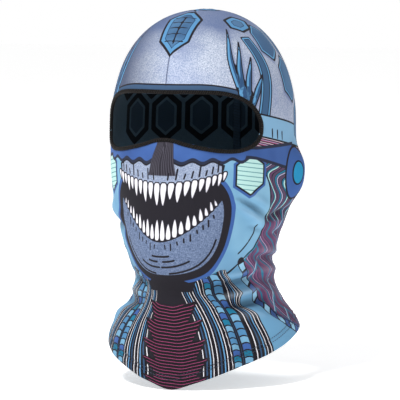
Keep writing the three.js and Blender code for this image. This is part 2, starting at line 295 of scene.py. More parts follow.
def makeClothMesh():
    arc = hoodForm["crownArc"]
    girth, foldSteps = hoodForm["round"], clothMesh["foldSteps"]
    spread = spacingFrom(clothMesh["columns"])
    columns = unevenSteps(-np.pi * girth, np.pi * girth, lambda at: spread(np.abs(at)))
    rows = unevenSteps(-hoodForm["hemTip"], arc, spacingFrom(clothMesh["rows"]))[::-1]
    bm = bmesh.new()
    for name in ("turn", "up", "fold"):
        bm.verts.layers.float.new(name)
    bm.verts.layers.int.new("inner")
    turnLayer, upLayer, foldLayer = (bm.verts.layers.float[name] for name in ("turn", "up", "fold"))
    xSteps, ySteps = len(columns) - 1, len(rows) - 1 + len(foldSteps)
    bmesh.ops.create_grid(bm, x_segments=xSteps, y_segments=ySteps, size=0.5)
    for v in bm.verts:
        i = round((v.co.x + 0.5) * xSteps)
        j = round((0.5 - v.co.y) * ySteps)
        turn = columns[i] / girth
        v[turnLayer] = turn
        if j < len(rows):
            v[upLayer] = rows[j] * (hemHeight(turn) / -hoodForm["hemTip"] if rows[j] < 0 else 1)
        else:
            v[upLayer] = hemHeight(turn)
            v[foldLayer] = foldSteps[j - len(rows)]
    placeCloth(bm)
    bmesh.ops.remove_doubles(bm, verts=bm.verts, dist=2e-5)
    # the eye opening; the binding hides its stepped edge
    centres = [(np.mean([v[turnLayer] for v in f.verts]) * girth, np.mean([v[upLayer] for v in f.verts])) for f in bm.faces]
    across, up = np.array(centres).T
    hole = signedDistance(eyeOutline()[::4], across, up)
    bm.faces.ensure_lookup_table()
    inHole = np.flatnonzero(hole > -clothMesh["holeMargin"])
    gone = [bm.faces[i] for i in inHole if bm.faces[i].calc_center_median().y < 0]
    bmesh.ops.delete(bm, geom=gone, context="FACES")
    bmesh.ops.recalc_face_normals(bm, faces=bm.faces)
    if sum(f.normal.xy.dot(f.calc_center_median().xy) for f in bm.faces) < 0:
        bmesh.ops.reverse_faces(bm, faces=bm.faces)
    return bm, turnLayer, upLayer, foldLayer


def inBoxes(boxes, across, up):
    return any(left < across < right and low < up < high for left, right, low, high in boxes)


def makeHood():
    bm, turnLayer, upLayer, foldLayer = makeClothMesh()
    innerLayer = bm.verts.layers.int["inner"]
    # the inner face is a copy of the unrefined cloth, one thickness further in
    copy = bmesh.ops.duplicate(bm, geom=bm.verts[:] + bm.edges[:] + bm.faces[:])
    innerFaces = [g for g in copy["geom"] if isinstance(g, bmesh.types.BMFace)]
    for g in copy["geom"]:
        if isinstance(g, bmesh.types.BMVert):
            g[innerLayer] = 1
    for f in innerFaces:
        f.material_index = 1
    bmesh.ops.reverse_faces(bm, faces=innerFaces)
    halfRound = hoodForm["round"] / 2
    for cuts, longest, layer, leftOnly, boxes in meshZones:
        picked = []
        for e in bm.edges:
            a, b = e.verts
            across, up = (a[turnLayer] + b[turnLayer]) * halfRound, (a[upLayer] + b[upLayer]) / 2
            if (a[innerLayer] == b[innerLayer] == layer and not a[foldLayer] and not b[foldLayer] and not e.is_boundary
                    and e.calc_length() > longest * mm and abs(a[turnLayer] - b[turnLayer]) < 1
                    and inBoxes(boxes, across if leftOnly else abs(across), up)):
                picked.append(e)
        bmesh.ops.subdivide_edges(bm, edges=picked, cuts=cuts, use_grid_fill=True)
    placeCloth(bm)
    # close the cloth's two edges: the hem's raw edge inside, and the eye opening
    def spot(v):
        return round(v[turnLayer], 5), round(v[upLayer], 3), round(v[foldLayer], 3)

    partner = {spot(v): v for v in bm.verts if v[innerLayer]}
    for e in [e for e in bm.edges if e.is_boundary and not e.verts[0][innerLayer]]:
        loop = e.link_loops[0]
        start, end = loop.vert, loop.link_loop_next.vert
        bm.faces.new((end, start, partner[spot(start)], partner[spot(end)])).material_index = 1
    bm.normal_update()
    mesh = bpy.data.meshes.new("hood_cloth")
    bm.to_mesh(mesh)
    bm.free()
    for p in mesh.polygons:
        p.use_smooth = True
    hood = bpy.data.objects.new("hood_cloth", mesh)
    bpy.context.collection.objects.link(hood)
    return hood


hood = makeHood()
print("hood cloth:", len(hood.data.vertices), "points,", len(hood.data.polygons), "faces")


# The print is a plain pattern by formula: a toothed grin, rounded panels, straps, hexagons, waves and
# stripes. Across is millimetres round from the middle of the front, up is millimetres up the cloth.
# Each shape becomes a field, millimetres inside its edge, for the wearer's left half and mirrored.
# Drift is how far the worn cloth's front is twisted sideways at each height.
driftReach = 38
drift = [(-240, 7), (-205, 5), (-190, 1), (-175, -4.5), (-160, -9), (-150, -12), (-137, -15), (-112, -10),
         (-98, -7.7), (-60, -5.5), (-43, -2.5), (-17, 1.5), (0, 0)]

# A row of pointed teeth above and one below, from the middle outwards
teeth = {
    "upper": {"first": 3.5, "width": 7.3, "less": 0.35, "base": -50.5, "bow": 0.0031, "way": -1, "lean": 0.16,
              "longest": 22, "shorter": 0.78, "shrink": 0.052, "creaseFrom": 2.5, "crease": 1},
    "lower": {"first": 3.4, "width": 6.8, "less": 0.39, "base": -101.8, "bow": 0.0128, "way": 1, "lean": 0.2,
              "longest": 20, "shorter": 0.8, "shrink": 0.062, "creaseFrom": 3.5, "crease": 0.6},
}
teethInRow = 10
creaseLengths = (5.5, 9, 4)

# Panels of the face: middle height, half width, half height, squareness
grin = {"up": -88.5, "halfWidth": 63.5, "halfHeight": 51, "power": 2.7, "rim": 6.5}
jaw = {"up": -78, "halfWidth": 105, "halfHeight": 62.5, "power": 2.4, "top": -27}
chinRings = [(0.84, 12, 74), (0.72, 2, 40), (0.62, 6, 26), (0.53, 0, 20)]  # share of the grin, degrees from and to
jawLine = (0.9, 52, 78)
gumPatch = {"low": -57, "bow": 0.0045, "top": -34.5, "side": 52}
underEyeBand = {"low": -33, "high": 4, "side": 76, "wave": 1.6, "waveRate": 0.36}
browStrip = {"high": 34, "flatTo": 30, "bow": 0.0038, "low": 12, "side": 82}
throatPatch = {
    "up": -150, "halfWidth": 33, "halfHeight": 14, "power": 4,
    "bandUp": -143, "bandHalf": 4.5, "slope": 0.22, "bandEnd": 57,
}
nosePatch = {"top": -4, "bottom": -44.5, "topHalf": 5, "bottomHalf": 14}
vent = {"across": 79, "up": -45, "halfWidth": 13.5, "halfHeight": 17}
# Straps: where they start and end round the head, the height there, the slope, and the half width
templeStrap = {"from": 82, "to": 150, "up": -1.5, "slope": -0.22, "half": 9.5}
fibreStrip = {"from": 84, "to": 147, "up": -14.5, "slope": -0.22, "half": 7}
earStrap = {"from": 56, "to": 134, "up": -26.5, "slope": -0.13, "half": 5.2, "widen": 0.15}
strapStart = 84
strapTicks = {"count": 4, "first": (96, -5), "step": (7, -1.6), "lean": 0.8, "long": 7.5}
earDisc = {"across": 135, "up": -47, "halfWidth": 14.5, "halfHeight": 24, "core": (0.4, 0.42)}
sideBand = {"across": 98, "sway": 5, "up": 20, "wave": 16, "low": -6, "high": 82, "half": 6.2}

# Honeycomb of tall plates over the sides and the back, and a few single ones on the crown
honeycomb = {"pitch": 35.6, "rowStep": 40, "topRow": 77, "halfWidth": 14.6, "halfHeight": 22.5,
             "frontEdge": 112, "lowRow": -2, "lowRowEdge": 150, "lowEdge": -30}
# across and up seen from above, half width and half height
crownPlates = [(0, -54, 16.5, 34), (45, -18, 11, 13), (0, 3, 13, 17), (31, 17, 9, 12), (0, 37, 8, 10)]

# Plain pointed stripes over the brow, fanned out from the corner of the eye opening
browFan = {"count": 4, "foot": (71.5, 23), "footStep": (3.6, -3), "tip": (73, 94), "tipStep": (8.5, -17.5),
           "half": (1.6, 2.5, 0.1), "bend": -6.5, "bendLess": 0.3}
shieldBars = {"heights": (-72, -63, -54, -45, -36), "half": 10.5, "spine": (-75, -33)}
shoulderPatch = {"from": 60, "to": 168, "above": 3}
backPatch = {"from": 176, "high": -190}
beadLine = {"from": 84, "to": 172, "step": 6, "up": -122, "drop": 50, "curve": 18, "slope": 0.32, "half": 4.3}
# Throat: across at the edges of the inner stripes, the two tubes and the outer stripes, for each height
neckFan = {-132: (16, 40, 46, 57, 66), -150: (18, 41, 50, 62, 77), -170: (22, 46, 55, 66, 85), -235: (24, 58, 69, 80, 103)}
fanTop = [(0, -148), (30, -148), (36, -138), (60, -128), (100, -128)]
fanSway = {"size": 3.4, "lean": 0.25, "up": -146, "wave": 4.6, "middle": -152, "reach": 13, "from": 30}
ribTier = {"top": -162, "height": 15.8, "wide": 29.5, "narrow": 17, "bow": 5.5, "bowHalf": 28}
flowWave = {"edge": 97, "rate": 0.9, "waves": [(4.5, 0.21, 0.0525), (3.0, 0.11, 0.07)]}
liningEdge = {"half": 2.6, "at": 1, "plate": 5}
lineHalf = {"crease": 0.75, "ring": 0.9, "jaw": 0.8, "bar": 0.8, "spine": 0.75}
fieldReach = 14
shadowMove = {"stripes": 2.6, "plates": -2.5}


def fanStripes():
    f, stripes = browFan, []
    for k in range(f["count"]):
        foot, tip = ([start + step * k for start, step in zip(f[end], f[end + "Step"])] for end in ("foot", "tip"))
        middle = [(foot[0] + tip[0]) / 2 + f["bend"] * (1 - f["bendLess"] * k), (foot[1] + tip[1]) / 2]
        stripes.append([(*spot, half) for spot, half in zip((foot, middle, tip), f["half"])])
    return stripes


def toothGaps(row):
    # middle of each tooth and its width, and the height of its root
    side, x = teeth[row], teeth[row]["first"]
    for i in range(teethInRow):
        width = side["width"] - side["less"] * i
        yield i, x, width, side["base"] + side["bow"] * x * x
        x += width - side["less"] / 2


def panelCurve(panel, share, first, last, steps=9):
    # a line that follows a rounded panel's lower edge, at a share of its size
    angles = np.radians(np.linspace(first, last, steps))
    x, y = np.sin(angles), np.cos(angles)
    reach = (np.abs(x) ** panel["power"] + np.abs(y) ** panel["power"]) ** (-1 / panel["power"]) * share
    return np.stack([panel["halfWidth"] * reach * x, panel["up"] - panel["halfHeight"] * reach * y], -1)


def faceLines():
    # short creases at the tooth roots, rings round the chin, ticks on the temple strap
    lines = []
    for row, side in teeth.items():
        for i, x, width, base in toothGaps(row):
            if i < teethInRow - 1:
                foot, long = base - side["creaseFrom"] * side["way"], creaseLengths[i % 3] * side["crease"]
                crease = [(x + width / 2, foot), (x + width / 2 + 0.8, foot - long * side["way"])]
                lines.append((lineHalf["crease"], crease))
    lines += [(lineHalf["ring"], panelCurve(grin, *ring)) for ring in chinRings]
    lines.append((lineHalf["jaw"], panelCurve(jaw, *jawLine)))
    for k in range(strapTicks["count"]):
        x, y = (start + step * k for start, step in zip(strapTicks["first"], strapTicks["step"]))
        lines.append((lineHalf["ring"], [(x, y), (x + strapTicks["lean"], y - strapTicks["long"])]))
    return lines


crownLines = [(lineHalf["bar"], [(0, y), (shieldBars["half"], y)]) for y in shieldBars["heights"]]
crownLines.append((lineHalf["spine"], [(0, y) for y in shieldBars["spine"]]))


def beadHeight(a):
    past = a - beadLine["from"]
    return beadLine["up"] - beadLine["drop"] * (1 - np.exp(-past / beadLine["curve"])) - beadLine["slope"] * past


def clipped(*limits):
    # inside all the limits at once
    return np.clip(np.min(np.broadcast_arrays(*limits), axis=0), -fieldReach, fieldReach)


def lineField(lines, across, up, reach=6.0):
    # half width minus the distance to the nearest line, so the inside of every line is positive
    field = np.full(across.shape, -reach)
    for half, points in lines:
        p = np.asarray(points, float)
        low, high = p.min(0) - reach, p.max(0) + reach
        near = (across > low[0]) & (across < high[0]) & (up > low[1]) & (up < high[1])
        x, y = across[near], up[near]
        if not len(x):
            continue
        best = np.full(x.shape, 1e9)
        for (ax, ay), (bx, by) in zip(p[:-1], p[1:]):
            dx, dy = bx - ax, by - ay
            t = np.clip(((x - ax) * dx + (y - ay) * dy) / max(dx * dx + dy * dy, 1e-9), 0, 1)
            best = np.minimum(best, (x - ax - t * dx) ** 2 + (y - ay - t * dy) ** 2)
        field[near] = np.maximum(field[near], half - np.sqrt(best))
    return field


def alongPath(path, across, up):
    # distance to a path, and how far along the path its nearest spot is
    nearest, run, start = np.full(across.shape, 99.0), np.zeros(across.shape), 0.0
    for (ax, ay), (bx, by) in zip(path[:-1], path[1:]):
        dx, dy = bx - ax, by - ay
        long = math.hypot(dx, dy)
        t = np.clip(((across - ax) * dx + (up - ay) * dy) / long ** 2, 0, 1)
        away = np.hypot(across - ax - t * dx, up - ay - t * dy)
        run = np.where(away < nearest, start + t * long, run)
        nearest = np.minimum(nearest, away)
        start += long
    return nearest, run


def stripeField(stripes, across, up, move=0.0):
    # strokes that swell and taper
    field = np.full(across.shape, -6.0)
    for path in stripes:
        fine = smoothLoop(path, 28, False)
        for (ax, ay, aw), (bx, by, bw) in zip(fine[:-1], fine[1:]):
            near = np.flatnonzero((np.abs(across - ax - move) < 9) & (np.abs(up - ay) < 9))
            if not len(near):
                continue
            x, y = across[near] - ax - move, up[near] - ay
            dx, dy = bx - ax, by - ay
            t = np.clip((x * dx + y * dy) / (dx * dx + dy * dy), 0, 1)
            field[near] = np.maximum(field[near], aw + (bw - aw) * t - np.hypot(x - t * dx, y - t * dy))
    return field


def roundedField(x, y, halfWidth, halfHeight, power=2.0):
    # about how far inside a rounded outline, in millimetres
    u, v = np.abs(x) / halfWidth, np.abs(y) / halfHeight
    r = np.maximum((u ** power + v ** power) ** (1 / power), 1e-6)
    slope = np.hypot((u / r) ** (power - 1) / halfWidth, (v / r) ** (power - 1) / halfHeight)
    return np.clip((1 - r) / slope, -fieldReach, fieldReach)


def hexagonField(x, y, halfWidth, halfHeight):
    steep = np.hypot(0.5, halfWidth / halfHeight)
    return clipped(halfWidth - np.abs(x), (1 - np.abs(x) / halfWidth / 2 - np.abs(y) / halfHeight) * halfWidth / steep)


def honeycombField(a, up, move=0.0):
    cell = honeycomb
    x, y = a - move - np.pi * hoodForm["round"], up - move - cell["topRow"]
    found = np.full(a.shape, -float(fieldReach))
    for offset in (-1, 0, 1):
        row = np.round(y / cell["rowStep"]) + offset
        odd = 0.5 * (np.abs(row) % 2)
        column = (np.round(x / cell["pitch"] - odd) + odd) * cell["pitch"]
        edge = np.where(row == cell["lowRow"], cell["lowRowEdge"], cell["frontEdge"])
        keep = (column + np.pi * hoodForm["round"] > edge) & (up > cell["lowEdge"]) & (row <= 0) & (row >= cell["lowRow"])
        inside = hexagonField(x - column, y - row * cell["rowStep"], cell["halfWidth"], cell["halfHeight"])
        found = np.maximum(found, np.where(keep, inside, -fieldReach))
    return found


def strapField(strap, a, up):
    past = a - strapStart
    half = strap["half"] + strap.get("widen", 0) * np.maximum(past, 0)
    return clipped(half - np.abs(up - strap["up"] - strap["slope"] * past), a - strap["from"], strap["to"] - a)


def panelField(panel, m, up):
    return roundedField(m, up - panel["up"], panel["halfWidth"], panel["halfHeight"], panel["power"])


def toothOutline(middle, base, tip, width, lean):
    # a rounded root and a point: half outline by formula
    t = np.linspace(0, 1, 12)
    half = width / 2 * np.clip(1 - t ** 1.9, 0, 1) ** 0.72 * np.clip(0.78 + 0.9 * t, 0, 1)
    half[0] = width * 0.26
    along = base + (tip - base) * t
    centre = middle + lean * t ** 1.5
    right = np.stack([centre + half, along], -1)
    left = np.stack([centre - half, along], -1)[::-1]
    return np.vstack([right, left[1:]])


def toothRows(across, up):
    field = np.full(across.shape, -6.0)
    for row, side in teeth.items():
        for i, x, width, base in toothGaps(row):
            length = side["longest"] * (1 - side["shrink"] * i) * (side["shorter"] if i % 2 else 1)
            outline = toothOutline(x, base, base + length * side["way"], width, -side["lean"] * (i + 2))
            field = np.maximum(field, signedDistance(outline, across, up, 6.0))
    return field


def faceFields(out, m, up):
    wave = underEyeBand["wave"] * np.cos(m * underEyeBand["waveRate"])
    band = clipped(up - underEyeBand["low"] + wave, underEyeBand["high"] - up, underEyeBand["side"] - m)
    out["underEye"] = np.maximum(band, strapField(earStrap, m, up))
    out["mask"] = panelField(grin, m, up)
    out["cheek"] = np.minimum(panelField(jaw, m, up), jaw["top"] - up)
    lowerRoots = teeth["lower"]["base"] + teeth["lower"]["bow"] * m * m
    out["chin"] = clipped(out["mask"] - grin["rim"], lowerRoots - up - 0.5)
    out["gums"] = clipped(up - gumPatch["low"] - gumPatch["bow"] * m * m, gumPatch["top"] - wave - up, gumPatch["side"] - m)
    n = nosePatch
    noseHalf = np.interp(-up, [-n["top"], -n["bottom"]], [n["topHalf"], n["bottomHalf"]])
    out["nose"] = clipped(noseHalf - m, n["top"] - up, up - n["bottom"])
    out["window"] = hexagonField(m - vent["across"], up - vent["up"], vent["halfWidth"], vent["halfHeight"])
    t = throatPatch
    band = clipped(t["bandHalf"] - np.abs(up - t["bandUp"] - t["slope"] * (m - t["halfWidth"])), t["bandEnd"] - m)
    out["throat"] = np.maximum(panelField(t, m, up), band)
    out["teeth"] = toothRows(m, up)


def crownFields(out, a, up, x, y):
    stripes, b = fanStripes(), sideBand
    out["stripes"] = stripeField(stripes, a, up)
    middle = b["across"] + b["sway"] * np.sin((up - b["up"]) / b["wave"])
    out["sideBand"] = clipped(b["half"] - np.abs(a - middle), up - b["low"], b["high"] - up)
    b = browStrip
    browTop = b["high"] - np.maximum(a - b["flatTo"], 0) ** 2 * b["bow"]
    out["browStrip"] = clipped(browTop - up, b["side"] - a, up - b["low"])
    out["temple"], out["fibre"] = strapField(templeStrap, a, up), strapField(fibreStrip, a, up)
    out["plates"] = honeycombField(a, up)
    out["shield"] = np.max([hexagonField(x - px, y - py, w, h) for px, py, w, h in crownPlates], axis=0)
    out["shadow"] = np.max([stripeField(stripes, a, up, shadowMove["stripes"]), out["sideBand"] - 1,
                            honeycombField(a, up, shadowMove["plates"]), out["shield"] - 1], axis=0)
    for name, core in (("disc", (1, 1)), ("oval", earDisc["core"])):
        out[name] = roundedField(a - earDisc["across"], up - earDisc["up"],
                                 earDisc["halfWidth"] * core[0], earDisc["halfHeight"] * core[1])
    # the inside shows the plates' edges and middles
    out["lining"] = liningEdge["half"] - np.abs(out["plates"] - liningEdge["at"])
    out["liningPlate"] = out["plates"] - liningEdge["plate"]


def neckFields(out, m, a, sp, up):
    patch = shoulderPatch
    beads = beadHeight(np.clip(a, beadLine["from"] - 4, beadLine["to"] - 2))
    out["shoulder"] = clipped(beads + patch["above"] - up, a - patch["from"], patch["to"] - a)
    out["backShoulder"] = clipped(a - backPatch["from"], backPatch["high"] - up)
    path = [(at, beadHeight(at)) for at in range(beadLine["from"], beadLine["to"], beadLine["step"])]
    away, out["chainRun"] = alongPath(smoothLoop(path, 40, False), a, up)
    out["chain"] = np.clip(beadLine["half"] - away, -10, 10)
    # fan: 0 to 1 over the inner stripes, to 2 and 3 over the tubes, to 4 over the outer stripes
    levels = sorted(neckFan)
    edges = np.stack([np.interp(up, levels, [neckFan[k][n] for k in levels]) for n in range(5)], -1)
    f = fanSway
    sway = f["size"] * np.sin((up + f["lean"] * m - f["up"]) / f["wave"]) * bump(up - f["middle"], f["reach"])
    sway *= np.clip(m / f["from"] - 1, 0, 1)
    inward = m + sway * np.where(sp > 0, 1.0, 0.5)
    q = np.full(m.shape, -1.0)
    for k in range(4):
        q = np.where(inward >= edges[:, k], k + (inward - edges[:, k]) / (edges[:, k + 1] - edges[:, k]), q)
    out["fan"] = np.clip(q, -1, 6)
    out["fanTop"] = np.interp(m, *zip(*fanTop)) - up
    level = up - ribTier["bow"] * (m / ribTier["bowHalf"]) ** 2
    tier = ((ribTier["top"] - level) / ribTier["height"]) % 1
    width = np.interp(tier, [0, 0.9, 1], [ribTier["wide"], ribTier["narrow"], ribTier["wide"]])
    out["ribs"] = np.minimum(width - m, ribTier["top"] + 1 - level)
    out["ribPhase"] = level + 0.3 * np.sin(sp * 0.3)
    # waves that follow the jaw's edge
    out["flow"] = (a - flowWave["edge"]) * flowWave["rate"] + sum(
        size * np.sin(up * rate + a * slant) for size, rate, slant in flowWave["waves"])


def printFields(turn, up):
    s = turn * hoodForm["round"]
    sp = s - np.interp(up, *zip(*drift)) * bump(s, driftReach)
    m, a = np.abs(sp), np.abs(s)
    rho = hoodForm["crownArc"] - up
    x, y = np.abs(rho * np.sin(turn)), -rho * np.cos(turn)
    out = {"across": sp, "up": up, "half": m, "lift": foldHeight(turn, up), "seam": seamDistance(turn, up)}
    faceFields(out, m, up)
    crownFields(out, a, up, x, y)
    neckFields(out, m, a, sp, up)
    out["lines"] = np.maximum(lineField(faceLines(), m, up), lineField(crownLines, x, y))
    return out


fieldSets = [("stripes", "plates", "lines", "teeth"), ("mask", "chin", "gums", "nose"),
             ("underEye", "cheek", "window", "throat"), ("disc", "oval", "lift", "chain"),
             ("chainRun", "fan", "fanTop", "ribs"), ("ribPhase", "flow", "across", "up"),
             ("sideBand", "browStrip", "temple", "fibre"), ("shoulder", "backShoulder", "shadow", "half"),
             ("lining", "liningPlate", "seam", "shield")]


def storeFields(thing):
    mesh = thing.data
    turn, up, fold = (np.zeros(len(mesh.vertices), np.float32) for _ in range(3))
    for name, values in (("turn", turn), ("up", up), ("fold", fold)):
        mesh.attributes[name].data.foreach_get("value", values)
    found = printFields(turn.astype(float), (up - fold * 0.7).astype(float))
    for k, names in enumerate(fieldSets):
        layer = mesh.attributes.new("print%d" % k, "FLOAT_COLOR", "POINT")
        layer.data.foreach_set("color", np.stack([found[n] for n in names], -1).astype(np.float32).ravel())


storeFields(hood)
print("print fields stored")


def tone(code):
    # a colour code as linear light
    parts = [int(code[i:i + 2], 16) / 255 for i in (1, 3, 5)]
    return tuple(c / 12.92 if c <= 0.04045 else ((c + 0.055) / 1.055) ** 2.4 for c in parts) + (1.0,)


def plainMaterial(name, colour, roughness, sheen=0.0):
    material = bpy.data.materials.new(name)
    material.use_nodes = True
    shader = material.node_tree.nodes["Principled BSDF"]
    shader.inputs["Base Color"].default_value = tone(colour)
    shader.inputs["Roughness"].default_value = roughness
    shader.inputs["Sheen Weight"].default_value = sheen
    shader.inputs["Sheen Roughness"].default_value = 0.45
    shader.inputs["Specular IOR Level"].default_value = 0.15
    return material, material.node_tree, shader


class Painter:
    # paints colours over each other in a material
    def __init__(self, tree):
        self.tree, self.fields = tree, {}
        for k, names in enumerate(fieldSets):
            source = self.node("ShaderNodeAttribute")
            source.attribute_name = "print%d" % k
            split = self.node("ShaderNodeSeparateColor")
            self.link(source.outputs["Color"], split.inputs[0])
            for name, socket in zip(names, list(split.outputs)[:3] + [source.outputs["Alpha"]]):
                self.fields[name] = socket
        self.coat = None

    def node(self, kind, **settings):
        made = self.tree.nodes.new(kind)
        for key, value in settings.items():
            setattr(made, key, value)
        return made

    def link(self, source, target):
        self.tree.links.new(source, target)

    def feed(self, target, value):
        if hasattr(value, "is_output"):
            self.link(value, target)
        else:
            target.default_value = value

    def math(self, kind, a, b=0.0):
        made = self.node("ShaderNodeMath", operation=kind)
        self.feed(made.inputs[0], a)
        self.feed(made.inputs[1], b)
        return made.outputs[0]

    def times(self, *values):
        total = values[0]
        for value in values[1:]:
            total = self.math("MULTIPLY", total, value)
        return total

    def plus(self, *values):
        total = values[0]
        for value in values[1:]:
            total = self.math("ADD", total, value)
        return total

    def less(self, share):
        return self.math("SUBTRACT", 1.0, share)

    def over(self, socket, threshold, soft=0.35):
        made = self.node("ShaderNodeMapRange")
        self.feed(made.inputs["Value"], socket)
        made.inputs["From Min"].default_value = threshold - soft / 2
        made.inputs["From Max"].default_value = threshold + soft / 2
        return made.outputs[0]

    def between(self, socket, low, high, soft):
        return self.times(self.over(socket, low, soft), self.less(self.over(socket, high, soft)))

    def field(self, name, threshold=0.0, soft=0.35):
        return self.over(self.fields[name], threshold, soft)

    def mix(self, under, top, share):
        made = self.node("ShaderNodeMix", data_type="RGBA")
        self.feed(made.inputs[0], share)
        self.feed(made.inputs[6], under)
        self.feed(made.inputs[7], top)
        return made.outputs[2]

    def mottle(self, dark, pale, source, soft, middle=0.5):
        return self.mix(tone(dark), tone(pale), self.over(source, middle, soft))

    def lay(self, top, share):
        top = tone(ink.get(top, top)) if isinstance(top, str) else top
        self.coat = self.mix(self.coat, top, share)

    def frame(self, name, *rings):
        # one colour inside another: colour, how far inside the edge, softness
        for colour, inside, *soft in rings:
            self.lay(colour, self.field(name, inside, *soft))

    def noise(self, scale, detail=2.0, roughness=0.5, stretch=None):
        place = self.node("ShaderNodeTexCoord").outputs["Object"]
        if stretch:
            mapping = self.node("ShaderNodeMapping")
            mapping.inputs["Scale"].default_value = stretch
            self.link(place, mapping.inputs["Vector"])
            place = mapping.outputs[0]
        made = self.node("ShaderNodeTexNoise")
        self.link(place, made.inputs["Vector"])
        made.inputs["Scale"].default_value = scale
        made.inputs["Detail"].default_value = detail
        made.inputs["Roughness"].default_value = roughness
        return made.outputs[0]

    def bars(self, phase, pitch, *stops):
        # bars of colour that repeat with the pitch
        ramp = self.node("ShaderNodeValToRGB")
        ramp.color_ramp.interpolation = "CONSTANT"
        elements = ramp.color_ramp.elements
        while len(elements) < len(stops):
            elements.new(0.5)
        for element, (at, colour) in zip(elements, stops):
            element.position = at
            element.color = tone(ink.get(colour, colour))
        self.link(self.math("FRACT", self.math("DIVIDE", phase, pitch)), ramp.inputs[0])
        return ramp.outputs[0]


ink = {
    "black": "#1F1D24", "lightBlue": "#5C94C0", "steel": "#3A5B7E", "deepSteel": "#2E4A69", "royal": "#3A5B98",
    "cyan": "#2488B4", "cheek": "#6697B9", "mint": "#B4D9D5", "mauve": "#623F62", "plum": "#774C6C", "teal": "#1E6F8E",
    "magenta": "#9C436D", "purple": "#53415C", "white": "#D9D7DC", "lilac": "#A8A3C2", "soot": "#17151B",
    "tubeBlue": "#4C7FA8", "tubePale": "#6D9DBC",
}
knit = {"heather": 980, "cloud": 26, "weave": 420, "fuzz": 1100, "ribPitch": 1.1, "bump": 0.22, "bumpDepth": 0.0004}


def paintCrown(p):
    # heathered cloth, darker towards the crown, with painted shade towards the sides and on the wearer's right, and the
    # sewn line as a dark line with painted shade of its groove
    up, half = p.up, p.half
    p.coat = p.mottle("#8391AB", "#D3D9E4", p.heather, 0.34)
    p.lay("#7C8BB4", p.times(p.over(p.cloud, 0.54, 0.25), 0.45))
    # painted shade: darker towards the sides, where the cloth turns away
    p.lay("#66739A", p.times(p.over(half, 66, 90), 0.25))
    # painted shade over the wearer's right side, above the eyes
    rightSideShade = p.over(p.math("SUBTRACT", p.times(p.fields["across"], -1), p.times(up, 0.2)), 18, 66)
    p.lay("#3C465F", p.times(rightSideShade, p.over(up, 10, 20), 0.9))
    p.lay("#4E618A", p.times(p.over(p.plus(up, p.times(p.cloud, 70)), 118, 44), 0.78))
    p.lay("#5A6A98", p.times(p.field("shadow", 0.5, 4.5), 0.85))
    # the sewn line painted as a dark line: painted shade of the seam's groove
    p.lay("#4A5470", p.times(p.less(p.over(p.fields["seam"], 0.55, 0.5)), 0.85))


def paintNeck(p):
    # waves behind the jaw, slanting ones lower down with a few thin strokes
    up, half = p.up, p.half
    waves = p.bars(p.plus(p.fields["flow"], p.times(p.noise(38, 1.0), 9.0)), 17.0,
                   (0, "black"), (0.045, "purple"), (0.20, "black"), (0.24, "teal"), (0.36, "black"), (0.395, "lilac"),
                   (0.47, "black"), (0.51, "purple"), (0.68, "black"), (0.72, "teal"), (0.80, "mint"), (0.86, "black"),
                   (0.90, "mauve"))
    p.lay(waves, p.over(p.times(p.plus(up, p.times(half, 0.02)), -1), 24, 3))
    lower = p.over(p.plus(p.times(up, -1), p.times(half, -0.04)), 84, 2.0)
    slant = p.plus(half, p.times(up, 0.75), p.times(p.noise(24, 1.0), 26.0))
    swing = p.times(p.math("SINE", p.times(up, 0.3)), 2.7)
    p.lay(p.bars(p.plus(slant, swing), 27.0, (0, "teal"), (0.09, "mauve"), (0.30, "plum"), (0.42, "teal"), (0.50, "mauve"),
                 (0.56, "lilac"), (0.60, "mauve"), (0.72, "plum"), (0.80, "#2D3A58"), (0.84, "mauve")), lower)
    stroke = p.math("FRACT", p.math("DIVIDE", p.math("SUBTRACT", half, p.times(up, 0.8)), 23.0))
    scatter = p.over(p.noise(48, 1.0), 0.53, 0.03)
    p.lay("#A9B9D4", p.times(p.over(stroke, 0.93, 0.02), scatter, lower))
    p.lay("#2A7C99", p.times(p.less(p.over(stroke, 0.09, 0.02)), scatter, lower))
    for name in ("shoulder", "backShoulder"):
        p.frame(name, ("black", -3.6), ("royal", -3.0, 0.8), ("cheek", 0.4, 1.2))


def paintCheeks(p):
    up, half = p.up, p.half
    hatch = p.bars(p.plus(p.times(up, 2.4), p.times(half, 0.55)), 9.0, (0, "black"), (0.22, "magenta"), (0.42, "lilac"),
                   (0.55, "black"), (0.72, "#8E5575"), (0.9, "white"))
    p.lay(hatch, p.field("fibre"))
    p.frame("cheek", ("black", -0.7), (p.mottle("#80AECA", "#6E9EBF", p.cloud, 0.3), 0.7))
    # painted shade: the cheek panel darker towards its lower edge, under the chin
    p.lay("#3F6189", p.times(p.field("cheek", 0.7), p.times(p.over(p.times(up, -1), 124, 30), 0.5)))
    p.lay("royal", p.times(p.field("mask", -3.6), p.less(p.over(up, -46, 8))))
    louvres = p.bars(p.plus(up, p.times(half, 0.15)), 3.9, (0, "#5F969C"), (0.2, "mint"))
    p.frame("window", ("royal", -3.2, 0.6), ("black", -1.2), (louvres, 0.4))


def paintStraps(p):
    p.frame("sideBand", ("black", -1.1), ("lightBlue", 0.3), ("black", 1.9), ("steel", 2.8))
    p.frame("temple", ("black", -0.9), ("#7DA8C8", 0.6))
    p.frame("underEye", ("#272C3F", -0.5), (p.mottle("#40619F", "#36538D", p.cloud, 0.3), 2.3, 0.6))
    p.frame("disc", ("black", 0.0), ("royal", 1.9))
    p.frame("oval", ("black", -0.9), ("cyan", 0.5))
    p.frame("browStrip", ("black", -1.0), ("#3A5270", 0.4))


def paintPlates(p):
    p.frame("stripes", ("black", -1.0), ("lightBlue", 0.35))
    p.lay("#2F4E74", p.times(p.field("stripes", 0.4), p.field("shadow", 0.1, 0.5)))
    plate, shield = p.mottle("#3B5D82", "#4C7298", p.cloud, 0.2), p.mottle("#35557A", "#4A7095", p.cloud, 0.2)
    p.frame("plates", ("black", -1.0), ("#5C92BC", 0.8), ("#2B4767", 2.6), (plate, 3.3))
    p.frame("shield", ("black", -1.6), ("#5489B5", 1.0), ("#223A56", 5.0), (shield, 5.8))


